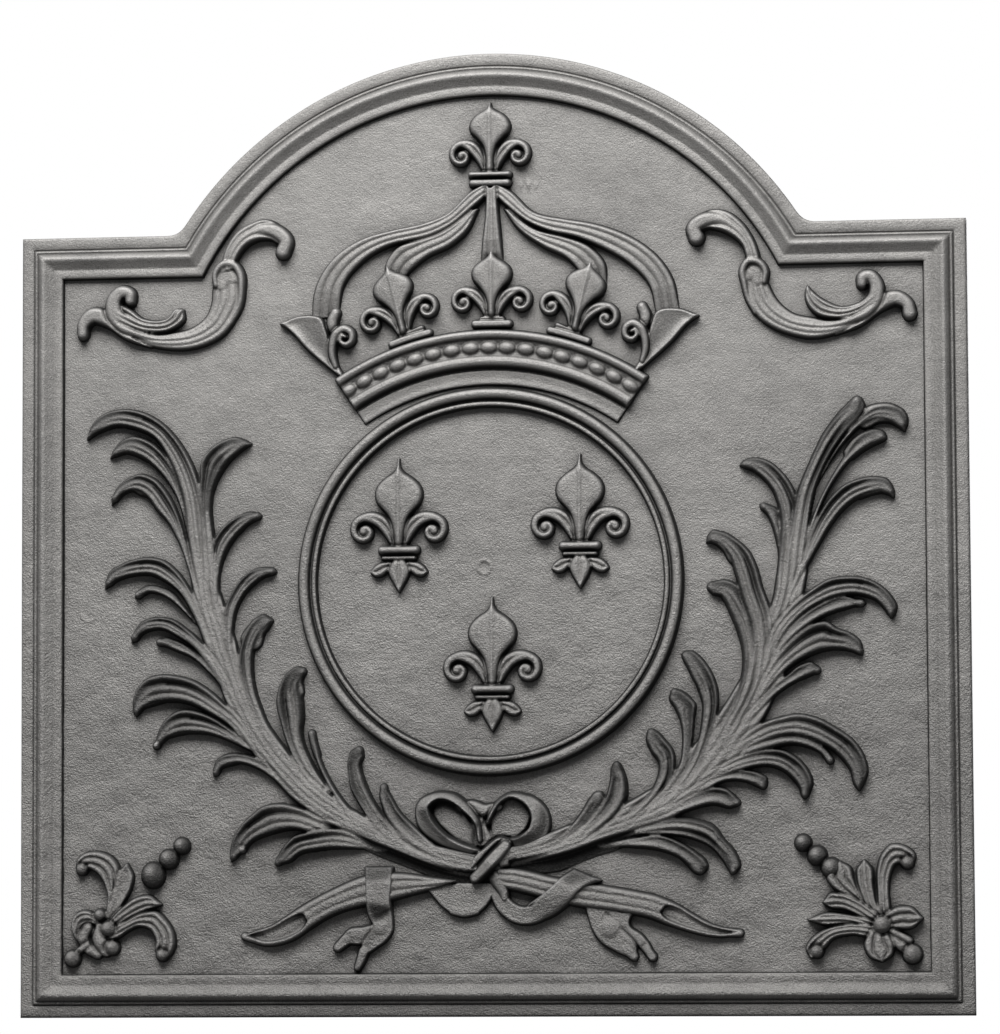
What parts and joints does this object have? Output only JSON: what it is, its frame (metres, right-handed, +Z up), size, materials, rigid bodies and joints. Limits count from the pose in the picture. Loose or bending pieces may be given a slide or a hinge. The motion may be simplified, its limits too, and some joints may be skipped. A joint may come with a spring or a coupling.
{
  "type": "fireback",
  "caption": "Arched cast-iron hearth plate with a moulded border and raised ornament, standing on its base edge to shield and reflect a fire.",
  "frame": {"origin": "middle of the base edge, at half of the whole depth", "axes": "+Z up the plate, +X across it to the right seen from the front, +Y from the front to the flat back"},
  "size_m": [0.6, 0.026, 0.6065],
  "materials": {
    "blackened_iron": "sand-cast, graphite-blackened, satin"
  },
  "bodies": {
    "root": {"plate": "blackened_iron", "border_moulding": "blackened_iron", "medallion_ring": "blackened_iron", "fleur_de_lis_left": "blackened_iron", "fleur_de_lis_right": "blackened_iron", "fleur_de_lis_lower": "blackened_iron", "crown_circlet": "blackened_iron", "crown_arches": "blackened_iron", "crown_fleuron_left": "blackened_iron", "crown_fleuron_centre": "blackened_iron", "crown_fleuron_right": "blackened_iron", "crown_finial": "blackened_iron", "crown_half_fleuron_left": "blackened_iron", "crown_half_fleuron_right": "blackened_iron", "palm_branch_left": "blackened_iron", "palm_branch_right": "blackened_iron", "palm_stalk_left": "blackened_iron", "palm_stalk_right": "blackened_iron", "ribbon_bow": "blackened_iron", "ribbon_end_left": "blackened_iron", "ribbon_end_right": "blackened_iron", "ribbon_tail_right": "blackened_iron", "ribbon_fold": "blackened_iron", "upper_scroll_left": "blackened_iron", "upper_scroll_right": "blackened_iron", "lower_spray_left": "blackened_iron", "lower_spray_right": "blackened_iron", "husk_string_left": "blackened_iron", "husk_string_right": "blackened_iron"}
  },
  "joints": []
}
